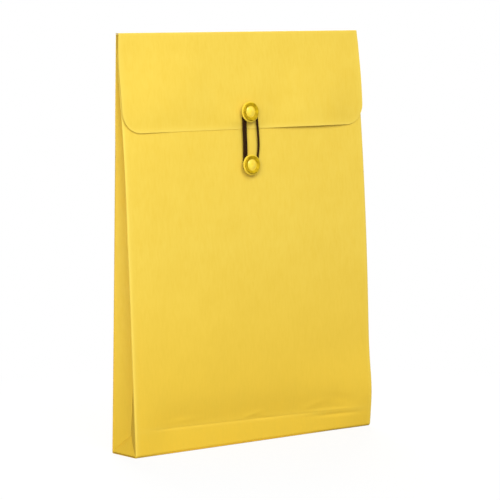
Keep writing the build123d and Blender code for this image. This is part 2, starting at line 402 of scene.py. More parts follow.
@dataclass(frozen=True)
class NodeBoard:
    """A node tree that is being wired."""

    tree: NodeTree

    def feed(self, socket: NodeSocket, value: object) -> None:
        """Links a socket to another, or sets it to a plain value.

        Args:
            socket: A node's input.
            value: What it gets.
        """
        if isinstance(value, NodeSocket):
            self.tree.links.new(value, socket)
        else:
            socket.default_value = value

    def fill(self, node: Node, **values: object) -> Node:
        """Feeds some inputs of a node.

        Args:
            node: The node.
            values: What its inputs get, by their names with _ for each space.

        Returns:
            The same node.
        """
        for name, value in values.items():
            self.feed(node.inputs[name.replace("_", " ")], value)
        return node

    def node(self, kind: str, *values: object, **settings: object) -> Node:
        """Makes a node.

        Args:
            kind: Blender's name for it.
            values: What its first inputs get.
            settings: Its properties.

        Returns:
            The node.
        """
        made = self.tree.nodes.new(kind)
        for name, setting in settings.items():
            setattr(made, name, setting)
        for socket, value in zip(made.inputs, values):
            self.feed(socket, value)
        return made

    def calc(self, operation: str, first: object, second: object) -> NodeSocket:
        """Returns the result of a math node, held between 0 and 1."""
        return self.node("ShaderNodeMath", first, second, operation=operation, use_clamp=True).outputs[0]

    def stretch(
        self, value: object, low: float, high: float, new_low: float = 0.0, new_high: float = 1.0
    ) -> NodeSocket:
        """Returns a value moved from one range to another, and held there."""
        return self.node("ShaderNodeMapRange", value, low, high, new_low, new_high).outputs["Result"]

    def mix(self, share: object, first: object, second: object) -> NodeSocket:
        """Mixes two colours.

        Args:
            share: Share of the second.
            first: A colour.
            second: Another.

        Returns:
            The colour between them.
        """
        node = self.node("ShaderNodeMix", share, data_type="RGBA")
        sockets = {socket.identifier: socket for socket in (*node.inputs, *node.outputs)}
        self.feed(sockets["A_Color"], first)
        self.feed(sockets["B_Color"], second)
        return sockets["Result_Color"]

    def grain(self, vector: NodeSocket, scale: float, detail: float) -> NodeSocket:
        """Returns a noise value."""
        node = self.node("ShaderNodeTexNoise")
        return self.fill(node, Vector=vector, Scale=scale, Detail=detail, Roughness=0.55).outputs["Fac"]

    def turned(self, vector: NodeSocket, angle: Point, scale: Point) -> NodeSocket:
        """Returns a vector turned by an angle in radians, then stretched."""
        node = self.node("ShaderNodeMapping")
        return self.fill(node, Vector=vector, Rotation=angle, Scale=scale).outputs["Vector"]

    def bump(self, height: NodeSocket, strength: float, depth: float) -> NodeSocket:
        """Returns a normal that is roughened by a height, with a full lift of that depth."""
        node = self.node("ShaderNodeBump")
        return self.fill(node, Strength=strength, Distance=depth, Height=height).outputs["Normal"]

    def seen(self) -> NodeSocket:
        """Tells rays that show a surface from those that light one.

        Returns:
            1 on rays from the camera and on mirrored and refracted ones, and 0 on lighting rays.
        """
        path = self.node("ShaderNodeLightPath").outputs
        direct = self.calc("ADD", path["Is Camera Ray"], path["Is Glossy Ray"])
        return self.calc("ADD", direct, path["Is Transmission Ray"])


def new_group(name: str, *outputs: str) -> tuple[NodeBoard, NodeSocket, Node]:
    """Makes an empty shader node group, which reads a Vector.

    Args:
        name: The group's name.
        outputs: Names of its number outputs.

    Returns:
        The board to wire it on, its Vector, and the node that its outputs leave by.
    """
    tree = bpy.data.node_groups.new(name, "ShaderNodeTree")
    tree.interface.new_socket(name="Vector", in_out="INPUT", socket_type="NodeSocketVector")
    for output in outputs:
        tree.interface.new_socket(name=output, in_out="OUTPUT", socket_type="NodeSocketFloat")
    board = NodeBoard(tree)
    return board, board.node("NodeGroupInput").outputs["Vector"], board.node("NodeGroupOutput")


def paper_fibres() -> NodeTree:
    """Makes the group for pressed paper: cloudy mottle, laid fibres and a fine tooth.

    Returns:
        The group.
    """
    board, vector, end = new_group("paper_fibres", "Mottle", "Fibre", "Tooth")
    steep = board.turned(vector, angle=(0.0, 0.5, 0.1), scale=(1.0, 1.0, 0.22))
    flat = board.turned(vector, angle=(0.1, -0.9, 0.0), scale=(1.0, 1.0, 0.18))
    laid = board.calc(
        "MULTIPLY", board.grain(steep, scale=620.0, detail=2.0), board.grain(flat, scale=540.0, detail=2.0)
    )
    board.fill(
        end,
        Mottle=board.stretch(board.grain(vector, scale=45.0, detail=3.0), low=0.3, high=0.7),
        Fibre=board.stretch(laid, low=0.14, high=0.38),
        Tooth=board.grain(vector, scale=1900.0, detail=3.0),
    )
    return board.tree


def metal_wear() -> NodeTree:
    """Makes the group for handled metal: dull patches and fine scratches.

    Returns:
        The group.
    """
    board, vector, end = new_group("metal_wear", "Dull", "Scratch")
    streak = board.turned(vector, angle=(0.3, 0.2, 0.4), scale=(1.0, 1.0, 0.06))
    board.fill(
        end,
        Dull=board.stretch(board.grain(vector, scale=420.0, detail=4.0), low=0.35, high=0.65),
        Scratch=board.stretch(board.grain(streak, scale=5200.0, detail=1.0), low=0.55, high=0.75),
    )
    return board.tree


def new_material(name: str) -> tuple[Material, NodeBoard, Node, NodeSocket]:
    """Makes a material.

    Args:
        name: The material's name.

    Returns:
        The material, the board to wire it on, its Principled shader, and the piece's own coordinates.
    """
    material = bpy.data.materials.new(name)
    material.use_nodes = True
    board = NodeBoard(material.node_tree)
    shader = board.tree.nodes["Principled BSDF"]
    return material, board, shader, board.node("ShaderNodeTexCoord").outputs["Object"]


@dataclass(frozen=True)
class PaperFinish:
    """A dyed paper or card: its colour, darker fibres, paler rubbed folds, and any painted shade deepening
    it towards the foot.
    """

    name: str
    base: Colour
    shade: Colour
    rubbed: Colour
    # The foot colour is painted shade: a deeper colour laid on towards the floor over the reach below.
    foot: Colour | None = None
    painted_shade_reach: float = 160 * MM
    mottle_share: float = 0.3
    fibre_share: float = 0.25
    least_rubbed: float = 0.45
    roughness: Pair = (0.62, 0.78)
    specular: float = 0.25
    tooth: float = 0.12 * MM
    tooth_strength: float = 0.35

    def material(self, fibres: NodeTree) -> Material:
        """Makes the paper's material.

        Args:
            fibres: The group that all paper shares.

        Returns:
            The material.
        """
        made, board, shader, vector = new_material(self.name)
        paper = board.node("ShaderNodeGroup", vector, node_tree=fibres).outputs
        fibre, base_and_painted_shade = paper["Fibre"], self.base
        # Painted shade: the colour deepens to the foot colour towards the floor.
        if self.foot is not None:
            height = board.node("ShaderNodeSeparateXYZ", vector).outputs["Z"]
            base_and_painted_shade = board.mix(board.stretch(height, 0.0, self.painted_shade_reach, 1.0, 0.0), self.base, self.foot)
        cloudy = board.stretch(paper["Mottle"], 0.0, 1.0, 0.0, self.mottle_share)
        patch = board.calc("ADD", cloudy, board.calc("MULTIPLY", fibre, self.fibre_share))
        fold = board.node("ShaderNodeAttribute", attribute_name=WEAR_LAYER).outputs["Fac"]
        worn = board.calc("MULTIPLY", fold, board.stretch(fibre, 0.0, 1.0, self.least_rubbed))
        board.fill(
            shader,
            Base_Color=board.mix(worn, board.mix(patch, base_and_painted_shade, self.shade), self.rubbed),
            Roughness=board.stretch(fibre, 0.0, 1.0, *self.roughness),
            Specular_IOR_Level=self.specular,
            Normal=board.bump(paper["Tooth"], self.tooth_strength, self.tooth),
        )
        return made


@dataclass(frozen=True)
class MetalFinish:
    """A metal, bare or lacquered: bright and dull colours, and how it shines."""

    name: str
    bright: Colour
    dull: Colour
    roughness: Pair
    metallic: float = 0.0
    specular: float = 0.5
    coat: float = 0.0
    coat_roughness: float = 0.2
    scratch_depth: float = 0.02 * MM
    scratch_strength: float = 0.2

    def material(self, wear: NodeTree) -> Material:
        """Makes the metal's material.

        Args:
            wear: The group that all metal shares.

        Returns:
            The material.
        """
        made, board, shader, vector = new_material(self.name)
        worn = board.node("ShaderNodeGroup", vector, node_tree=wear).outputs
        board.fill(
            shader,
            Base_Color=board.mix(worn["Dull"], self.bright, self.dull),
            Roughness=board.stretch(worn["Dull"], 0.0, 1.0, *self.roughness),
            Metallic=self.metallic,
            Specular_IOR_Level=self.specular,
            Coat_Weight=self.coat,
            Coat_Roughness=self.coat_roughness,
            Normal=board.bump(worn["Scratch"], self.scratch_strength, self.scratch_depth),
        )
        return made


@dataclass(frozen=True)
class StringFinish:
    """Dark waxed thread, with paler fibres on its plies."""

    name: str
    dark: Colour
    pale: Colour
    roughness: Pair = (0.55, 0.85)
    specular: float = 0.12
    hair_depth: float = 0.08 * MM
    hair_strength: float = 0.5

    def material(self) -> Material:
        """Makes the thread's material.

        Returns:
            The material.
        """
        made, board, shader, vector = new_material(self.name)
        hair = board.grain(vector, scale=2600.0, detail=3.0)
        patch = board.stretch(board.grain(vector, scale=140.0, detail=2.0), low=0.3, high=0.7, new_low=0.4)
        share = board.calc("MULTIPLY", board.stretch(hair, low=0.4, high=0.75), patch)
        board.fill(
            shader,
            Base_Color=board.mix(share, self.dark, self.pale),
            Roughness=board.stretch(hair, 0.3, 0.7, *self.roughness),
            Specular_IOR_Level=self.specular,
            Normal=board.bump(hair, self.hair_strength, self.hair_depth),
        )
        return made


@dataclass(frozen=True)
class Finishes:
    """Every material of the envelope."""

    kraft: Material
    card: Material
    backing: Material
    rim: Material
    lacquer: Material
    collar: Material
    thread: Material

    @classmethod
    def mix_all(cls) -> "Finishes":
        """Makes the materials, with one fibre group and one wear group between them.

        Returns:
            All of them.
        """
        # Painted shade: the kraft's colour at its foot, deeper than its base.
        foot = srgb(239, 197, 54)
        papers = (
            PaperFinish("kraft", srgb(240, 208, 80), srgb(231, 194, 62), srgb(249, 224, 106), foot),
            PaperFinish("button_card", srgb(243, 214, 66), srgb(230, 194, 48), srgb(250, 230, 120)),
            PaperFinish("backing_card", srgb(214, 196, 150), srgb(190, 170, 122), srgb(226, 214, 178)),
        )
        metals = (
            MetalFinish("rim_brass", srgb(208, 174, 15), srgb(168, 136, 7), (0.5, 0.7), specular=0.1),
            MetalFinish("rivet_lacquer", srgb(252, 224, 58), srgb(240, 206, 40), (0.3, 0.45), coat=0.4),
            MetalFinish("collar_brass", srgb(190, 160, 70), srgb(140, 110, 40), (0.3, 0.5), metallic=1.0),
        )
        thread = StringFinish("waxed_thread", srgb(30, 11, 0), srgb(84, 52, 8)).material()
        fibres, wear = paper_fibres(), metal_wear()
        made = [paper.material(fibres) for paper in papers] + [metal.material(wear) for metal in metals]
        return cls(*made, thread)


@dataclass
class PaperWork:
    """A sub-assembly of folded kraft paper."""

    form: EnvelopeForm
    finish: Material

    def make_sheet(
        self,
        name: str,
        columns: Sequence,
        rows: Sequence,
        place: Callable[[object, object], Point],
        *nodes: str,
        wear: Callable[[object, object], float] | None = None,
        body: Body | None = None,
    ) -> Object:
        """Models a sheet, a grid laid along its middle and then given its thickness, and dresses it.

        Args:
            name: The piece's name.
            columns: One value for each line of points up the sheet.
            rows: One value for each line of points across it.
            place: Gives a point of the sheet's middle from its column's and its row's value.
            nodes: The nodes that it replaces.
            wear: Gives how far a point is rubbed, 0 to 1, or none for an even sheet.
            body: The body that it rides, or none to leave it unattached.

        Returns:
            The sheet, at the origin, with its place in its mesh.
        """
        use_only(None)
        across, along = len(columns) - 1, len(rows) - 1
        bpy.ops.mesh.primitive_grid_add(x_subdivisions=across, y_subdivisions=along, size=1)
        piece = bpy.context.object
        piece.name = piece.data.name = name
        places = [vertex.co + Vector((0.5, 0.5, 0)) for vertex in piece.data.vertices]
        values = [(columns[round(co.x * across)], rows[round(co.y * along)]) for co in places]
        for vertex, (column, row) in zip(piece.data.vertices, values):
            vertex.co = place(column, row)
        layer = piece.data.attributes.new(WEAR_LAYER, "FLOAT", "POINT")
        if wear is not None:
            layer.data.foreach_set("value", [wear(column, row) for column, row in values])
        use_only(piece)
        solid = piece.modifiers.new("thickness", "SOLIDIFY")
        solid.thickness, solid.offset, solid.use_even_offset = self.form.sheet, 0, True
        bpy.ops.object.modifier_apply(modifier=solid.name)
        return settle(piece, self.finish, Slot.KRAFT, *nodes, body=body)

    def folded_columns(self, radius: float, start: float, stop: float, count: int) -> list[Pair]:
        """Lays columns across a wall, with a rounded fold where it meets a gusset.

        Args:
            radius: The folds' radius.
            start: X of the first column, or minus half the width where that edge is folded.
            stop: X of the last column, or half the width where that edge is folded.
            count: Columns on the flat.

        Returns:
            For each column its X and how far its fold has turned it inwards.
        """
        half = self.form.half
        turn = [(half - radius + run, drop) for run, drop in arc(radius, SIDE_FOLD_DEGREES)]
        left = [(-x, inwards) for x, inwards in turn if start <= -half]
        right = [(x, inwards) for x, inwards in reversed(turn) if stop >= half]
        flat = spread(max(start, radius - half), min(stop, half - radius), count)
        return left + [(x, 0.0) for x in flat] + right

    def fold_flat(self, piece: Object, keep: float = 0.05) -> Object:
        """Gives a piece of the bottom its own copy of its mesh.

        Args:
            piece: A piece that rides the back wall.
            keep: Share of its depth that is left; not used.

        Returns:
            The same piece.
        """
        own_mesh(piece)
        return piece


@dataclass
class FrontWall(PaperWork):
    """The front of the pocket, one sheet from its throat to its foot."""

    relief: FrontRelief
    fold_radius: float = 0.9 * MM
    throat_corner: float = 6 * MM
    foot_length: float = 34 * MM
    foot_fold: float = 2.4 * MM
    pinch_press: float = 0.85
    rubbed_width: float = 2.4 * MM
    side_wear: float = 0.5
    crease_wear: float = 0.1
    column_count: int = 133
    row_counts: Counts = (76, 48)

    def place(self, column: Pair, down: float) -> Point:
        """Places a point of the sheet's middle.

        Args:
            column: Its X and how far its fold has turned it inwards.
            down: Its place down the front.

        Returns:
            The point.
        """
        form, (x, inwards) = self.form, column
        corner = form.throat_drop + self.throat_corner - down
        x *= (form.half - round_off(self.throat_corner, corner)) / form.half
        pressed = 1 - self.pinch_press * self.relief.pinch(x, down) / self.relief.pinch_depth
        tucked = round_off(self.foot_fold, self.foot_fold - form.front_length + down)
        out = self.relief.out(x, down) - form.sheet / 2 - inwards * pressed - tucked
        return (x, *form.front_point(down, out))

    def wear(self, column: Pair, down: float) -> float:
        """Finds how far the paper is rubbed: along the side folds and the foot crease.

        Args:
            column: The point's X and how far its fold has turned it inwards.
            down: Its place down the front.

        Returns:
            Its wear, 0 to 1.
        """
        side, up = self.form.half - abs(column[0]), self.form.front_length - down
        low = up - self.relief.crease_up(column[0])
        return rubbed(self.rubbed_width, (side, self.side_wear), (low, self.crease_wear))

    def build(self) -> list[Object]:
        """Models the sheet and dresses it.

        Returns:
            The sheet.
        """
        form = self.form
        columns = self.folded_columns(self.fold_radius, -form.half, form.half, self.column_count)
        throat = [form.throat_drop + drop for _, drop in arc(self.throat_corner, QUARTER_DEGREES)]
        foot, fold = form.front_length - self.foot_length, form.front_length - self.foot_fold
        wall_rows, foot_rows = self.row_counts
        rows = throat + spread(throat[-1], foot, wall_rows)[1:] + spread(foot, fold, foot_rows)[1:]
        rows += [fold + run for run, _ in arc(self.foot_fold, FOOT_FOLD_DEGREES)]
        name, nodes = "pocket_front", ("front_panel", "front_foot")
        return [self.make_sheet(name, columns, rows, self.place, *nodes, wear=self.wear, body=Body.FRONT)]


@dataclass
class ClosingFlap(PaperWork):
    """The flap, from the back's crease over the mouth and down the front, in one sheet."""

    relief: FrontRelief
    lip_radius: float = 0.5 * MM
    fold_radius: float = 0.9 * MM
    relief_zone: Zone = (0, 35 * MM)
    overhang: float = 0.7 * MM
    overhang_zone: Zone = (0, 14 * MM)
    edge_gap: float = 0.08 * MM
    lift_right: float = 2.2 * MM
    right_zone: Zone = (5 * MM, 60 * MM)
    right_fade: float = 0.8
    right_fade_zone: Zone = (82 * MM, 30 * MM)
    lift_corner: float = 0.8 * MM
    corner_zone: Zone = (66 * MM, 40 * MM)
    closing_middle: float = 70.5 * MM
    closing_early: float = 45 * MM
    closing_zone: Zone = (14 * MM, 25 * MM)
    bow_height: float = 0.9 * MM
    bow_down: float = 50 * MM
    bow_reach: float = 26 * MM
    bow_zone: Zone = (18 * MM, 50 * MM)
    bow_edge_zone: Zone = (0, 14 * MM)
    rubbed_width: float = 2.6 * MM
    fold_wear: float = 0.15
    edge_wear: float = 0.4
    column_count: int = 141
    crowding: float = 1.15
    spine_rows: int = 6
    fold_rows: int = 9
    front_rows: int = 34
    corner_rows: int = 18
    corner_degrees: Pair = (5, 90)

    @cached_property
    def top(self) -> float:
        """Height of the spine's middle."""
        return self.form.height + self.form.sheet / 2

    @cached_property
    def even_out(self) -> float:
        """Height of an even flap's middle out of the front."""
        return self.form.flap_gap + self.form.sheet / 2

    @cached_property
    def front_start(self) -> float:
        """Place down the front where the fold at the flap's top ends."""
        tilt, rise = self.form.front_turn(0), self.form.front_point(0, self.even_out)[1]
        return (rise - self.top + self.fold_radius * (1 - math.sin(tilt))) / math.cos(tilt)

    def stand_off(self, x: float, down: float) -> float:
        """Finds how far the flap's middle stands out of the front's even curve.

        The flap follows the paper under it, closed along the edge at the left and gaping at the right.

        Args:
            x: Place across the flap.
            down: Place down it.

        Returns:
            The height.
        """
        even, length = self.form.flap_gap, self.form.flap_length
        right = self.lift_right * ramp(x, *self.right_zone)
        right *= 1 - self.right_fade * ramp(x, *self.right_fade_zone)
        edge = self.edge_gap + right + self.lift_corner * ramp(-x, *self.corner_zone)
        start = self.closing_middle - self.closing_early * ramp(abs(x), *self.closing_zone)
        bow = self.bow_height * bell(down - self.bow_down, self.bow_reach) * ramp(abs(x), *self.bow_zone)
        bow *= ramp(length - down, *self.bow_edge_zone)
        gap = even + (edge - even) * ramp(down, start, length - start) + bow
        pinch = self.relief.pinch(x, down)
        paper = (self.relief.out(x, down) + pinch) * ramp(down, *self.relief_zone)
        return gap + self.form.sheet / 2 + paper - pinch

    def top_rows(self) -> list[Point]:
        """Draws the sheet's side section from its back lip to the top of the front.

        Returns:
            For each row Y, Z, and its place down the front, which is 0 before the front begins.
        """
        tilt, radius = self.form.front_turn(0), self.fold_radius
        edge_y, edge_z = self.form.front_point(self.front_start, self.even_out)
        hub_y, hub_z = edge_y + radius * math.cos(tilt), edge_z - radius * math.sin(tilt)
        lip_y, lip_z = self.form.crease_y, self.top - self.lip_radius
        lip = [(lip_y - drop, lip_z + run) for run, drop in arc(self.lip_radius, QUARTER_DEGREES)]
        spine = [(y, self.top) for y in spread(lip[-1][0], hub_y, self.spine_rows)[1:-1]]
        turns = spread(math.pi / 2, math.pi - tilt, self.fold_rows)
        fold = [(hub_y + radius * math.cos(a), hub_z + radius * math.sin(a)) for a in turns]
        return [(y, z, 0.0) for y, z in lip + spine + fold]

    def place(self, column: float, row: Point) -> Point:
        """Places a point of the sheet's middle.

        Args:
            column: Its share of the way across, -1 to 1.
            row: Its row's Y and Z, and its place down the front.

        Returns:
            The point.
        """
        form, (y, z, down) = self.form, row
        if down == 0.0:
            x = column * form.half
            reach = form.crease_y - form.front_point(self.front_start, self.even_out)[0]
            kept = 1 - self.relief.pinch(x, self.front_start) / reach
            return (x, form.crease_y + (y - form.crease_y) * kept, z)
        half = form.half - round_off(form.flap_corner, down - form.flap_length + form.flap_corner)
        x = column * (half + self.overhang * ramp(down, *self.overhang_zone))
        return (x, *form.front_point(down, self.stand_off(x, down)))

    def wear(self, column: float, row: Point) -> float:
        """Returns how far the paper is rubbed: along its fold and its free edges."""
        edge = min(self.form.flap_length - row[2], (1 - abs(column)) * self.form.half)
        return rubbed(self.rubbed_width, (row[2], self.fold_wear), (edge, self.edge_wear))

    def build(self) -> list[Object]:
        """Models the sheet and dresses it.

        Returns:
            The sheet.
        """
        corner = self.form.flap_length - self.form.flap_corner
        downs = spread(self.front_start, corner, self.front_rows)[1:]
        turns = spread(*self.corner_degrees, self.corner_rows)
        downs += [corner + run for run, _ in arc(self.form.flap_corner, turns)]
        rows = self.top_rows() + [(0.0, 0.0, down) for down in downs]
        even = spread(-1, 1, self.column_count)
        columns = [math.copysign(1 - (1 - abs(share)) ** self.crowding, share) for share in even]
        name, nodes = "closing_flap_sheet", ("flap", "flap_spine")
        return [self.make_sheet(name, columns, rows, self.place, *nodes, wear=self.wear, body=Body.FLAP)]


@dataclass
class BackWall(PaperWork):
    """The back of the pocket: two panels, the right one stepped in under the left along the glued seam."""

    fold_radius: float = 1.4 * MM
    wave_height: float = 0.35 * MM
    wave_length: float = 80 * MM
    wave_seed: float = 5.3
    wave_zone: Zone = (0, 20 * MM)
    glue_height: float = 0.12 * MM
    glue_width: float = 8 * MM
    glue_lengths: Pair = (9 * MM, 14 * MM)
    glue_seed: float = 2.1
    top_press: float = 0.6
    press_zone: Zone = (230 * MM, 45 * MM)
    step_clear: float = 0.2 * MM
    step_run: float = 1.3 * MM
    step_span: Pair = (-1 * MM, 2.6 * MM)
    flat_from: float = 3 * MM
    floor_gap: float = 0.3 * MM
    top_gap: float = 0.55 * MM
    rubbed_width: float = 1.6 * MM
    side_wear: float = 0.15
    foot_wear: float = 0.3
    row_count: int = 90
    left_columns: int = 62
    step_columns: int = 10
    right_columns: int = 50

    def place(self, side: Side, column: Pair, up: float) -> Point:
        """Places a point of a panel's middle: rippled by its glue at the left, stepped in at the right.

        Args:
            side: Which panel.
            column: The point's X and how far its fold has turned it inwards.
            up: Its length up the back.

        Returns:
            The point.
        """
        form, (x, depth), lap, share = self.form, column, self.form.seam_lap / 2, up / self.form.chord
        wave = self.wave_height * noise.noise((x / self.wave_length, up / self.wave_length, self.wave_seed))
        wave *= 4 * share * (1 - share) * ramp(form.half - abs(x), *self.wave_zone)
        if side is Side.LEFT:
            depth *= 1 - self.top_press * ramp(up, *self.press_zone)
            ripple = noise.noise((x / self.glue_lengths[0], up / self.glue_lengths[1], self.glue_seed))
            depth -= self.glue_height * max(0.0, ripple) * ramp(x, lap - self.glue_width, self.glue_width)
        else:
            depth += (form.sheet + LAYER_GAP) * (1 - ramp(x, lap + self.step_clear, self.step_run))
        return (x, *form.back_point(up, form.sheet / 2 + wave + depth))

    def wear(self, column: Pair, up: float) -> float:
        """Returns how far the paper is rubbed: along the side fold and the bottom edge."""
        side = self.form.half - abs(column[0])
        return rubbed(self.rubbed_width, (side, self.side_wear), (up, self.foot_wear))

    def build(self) -> list[Object]:
        """Models the two panels and dresses them.

        Returns:
            The panels.
        """
        half, lap = self.form.half, self.form.seam_lap / 2
        rows = spread(self.floor_gap, self.form.chord - self.top_gap, self.row_count)
        left = self.folded_columns(self.fold_radius, -half, lap, self.left_columns)
        right = self.folded_columns(self.fold_radius, lap + self.flat_from, half, self.right_columns)
        step = spread(lap + self.step_span[0], lap + self.step_span[1], self.step_columns)
        right = [(x, 0.0) for x in (-lap, 0.0, *step)] + right
        pieces = []
        for side, columns in ((Side.LEFT, left), (Side.RIGHT, right)):
            word, place = side.name.lower(), partial(self.place, side)
            name, node = f"pocket_back_{word}", f"back_panel_{word}"
            pieces.append(self.make_sheet(name, columns, rows, place, node, wear=self.wear, body=Body.BACK))
        return pieces


@dataclass
class SideGusset(PaperWork):
    """One folded side: a rear and a front leaf that meet in a tucked crease, over a flat foot."""

    relief: FrontRelief
    side: Side
    leaf_length: float = 17.1 * MM
    leaf_bow: float = 0.5 * MM
    bow_speed: float = 1.3
    foot_low: float = 1.31 * MM
    foot_swell: float = 0.4 * MM
    apex: float = 15.5 * MM
    apex_share: float = 0.985
    rubbed_width: float = 0.08
    crease_wear: float = 0.15
    bend_inset: float = 1.5 * MM
    leaf_counts: Counts = (15, 70)
    foot_counts: Counts = (25, 15)

    def edge(self, wall: Wall, z: float) -> float:
        """Finds a leaf's edge at its wall.

        Args:
            wall: The wall that the leaf starts from.
            z: Height over the floor.

        Returns:
            The edge's Y.
        """
        form = self.form
        if wall is Wall.REAR:
            return form.depth / 2 - z * math.tan(form.lean) - form.leaf_gap
        down = form.front_length * (1 - z / form.height)
        return form.front_point(down, self.relief.out(self.side.value * form.half, down) - form.leaf_gap)[0]

    def crease(self, z: float) -> Pair:
        """Finds the gusset's middle crease.

        Args:
            z: Height over the floor.

        Returns:
            The crease's X and Y.
        """
        rear, front = self.edge(Wall.REAR, z), self.edge(Wall.FRONT, z)
        tuck = math.sqrt(max(0.0, self.leaf_length**2 - ((rear - front) / 2) ** 2))
        return (self.side.value * (self.form.half - tuck), (rear + front) / 2)

    def leaf_point(self, wall: Wall, share: float, up: float) -> Point:
        """Places a point of a leaf's middle.

        Args:
            wall: The wall that the leaf starts from.
            share: 0 at the wall, 1 at the crease.
            up: 0 on the foot's fold, 1 at the top.

        Returns:
            The point.
        """
        low = self.foot_low + (self.apex - self.foot_low) * share
        z = low + (self.form.height - self.form.throat_drop - low) * up
        crease_x, crease_y = self.crease(z)
        edge_x, edge_y = self.side.value * self.form.half, self.edge(wall, z)
        bow = self.leaf_bow * math.sin(math.pi * share) * math.sin(math.pi * min(1.0, self.bow_speed * up))
        lap = wall.value * (self.form.sheet / 2 + LAYER_GAP) * share
        x = edge_x + (crease_x - edge_x) * share - self.side.value * bow
        return (x, edge_y + (crease_y - edge_y) * share + lap, z)

    def leaf_wear(self, share: float, up: float) -> float:
        """Returns how far a leaf is rubbed: along the crease."""
        return rubbed(self.rubbed_width, (1 - share, self.crease_wear))

    def foot_point(self, across: float, up: float) -> Point:
        """Places a point of the foot's middle.

        Args:
            across: 0 at the front, 1 at the back.
            up: 0 on its base, 1 at its apex.

        Returns:
            The point.
        """
        front, rear = self.edge(Wall.FRONT, self.foot_low), self.edge(Wall.REAR, self.foot_low)
        base = Vector((self.side.value * self.form.half, front + (rear - front) * across, self.foot_low))
        tip = Vector((*self.crease(self.apex), self.apex))
        swell = self.foot_swell * math.sin(math.pi * across) * math.sin(math.pi * up)
        return tuple(base.lerp(tip, self.apex_share * up) + ACROSS * self.side.value * swell)

    def build(self) -> list[Object]:
        """Models the leaves and the foot, and dresses them.

        Returns:
            The three sheets.
        """
        name, reach = f"{self.side.name.lower()}_gusset", self.form.depth / 2
        columns, rows = (spread(0, 1, count) for count in self.leaf_counts)
        pieces = []
        for wall in Wall:
            leaf, place = f"{name}_{wall.name.lower()}", partial(self.leaf_point, wall)
            pieces.append(self.make_sheet(leaf, columns, rows, place, f"{leaf}_leaf", wear=self.leaf_wear))
            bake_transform(pieces[-1])
        columns, rows = (spread(0, 1, count) for count in self.foot_counts)
        foot = f"{name}_foot"
        piece = self.make_sheet(f"{foot}_fold", columns, rows, self.foot_point, foot, body=Body.BACK)
        return [*pieces, self.fold_flat(piece)]


@dataclass
class BlockBottom(PaperWork):
    """The folded bottom: its outer panel, the inner flap and two dust flaps over it."""

    layer: float = 0.37 * MM
    fold_radius: float = 0.6 * MM
    inner_reach: float = 22 * MM
    dust_length: float = 30 * MM
    dust_taper: float = 6 * MM
    edge_gap: float = 0.2 * MM
    panel_counts: Counts = (61, 19)
    inner_counts: Counts = (41, 9)
    dust_counts: Counts = (13, 13)

    @cached_property
    def half_depth(self) -> float:
        """Half of the outer panel's depth."""
        low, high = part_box("bottom_panel")
        return (high.y - low.y) / 2

    def panel_point(self, column: float, row: Pair) -> Point:
        """Returns a point of the outer panel's middle, whose long edges are rolled up."""
        return (column, row[0], self.form.sheet / 2 + row[1])

    def inner_point(self, column: float, row: float) -> Point:
        """Returns a point of the inner flap's middle: a strip from the front, cut back at both ends."""
        x, y = column * (self.form.half - self.inner_reach * row), self.inner_reach * row - self.half_depth
        return (x, y, self.layer + self.form.sheet / 2)

    def dust_point(self, side: Side, column: float, row: float) -> Point:
        """Returns a point of a dust flap's middle, which narrows inwards from its side."""
        x = side.value * (self.form.half - self.edge_gap - self.dust_length * column)
        return (x, (self.half_depth - self.dust_taper * column) * row, 2 * self.layer + self.form.sheet / 2)

    def build(self) -> list[Object]:
        """Models the four layers and dresses them.

        Returns:
            The layers.
        """
        half, inner = self.form.half, self.half_depth - self.fold_radius
        turn = [(inner + run, rise) for run, rise in arc(self.fold_radius, FLOOR_FOLD_DEGREES)]
        flat = spread(-inner, inner, self.panel_counts[1])
        rows = [(-y, rise) for y, rise in turn] + [(y, 0.0) for y in flat] + turn[::-1]
        panel_columns = spread(-half, half, self.panel_counts[0])
        inner_columns, inner_rows = spread(-1, 1, self.inner_counts[0]), spread(0, 1, self.inner_counts[1])
        dust_columns, dust_rows = spread(0, 1, self.dust_counts[0]), spread(-1, 1, self.dust_counts[1])
        layers = [
            ("block_bottom", panel_columns, rows, self.panel_point, "bottom_panel"),
            ("block_inner_flap", inner_columns, inner_rows, self.inner_point, "bottom_inner_flap"),
        ]
        for side in Side:
            node = f"{side.name.lower()}_dust_flap"
            layers.append((f"block_{node}", dust_columns, dust_rows, partial(self.dust_point, side), node))
        return [self.fold_flat(self.make_sheet(*layer, body=Body.BACK)) for layer in layers]


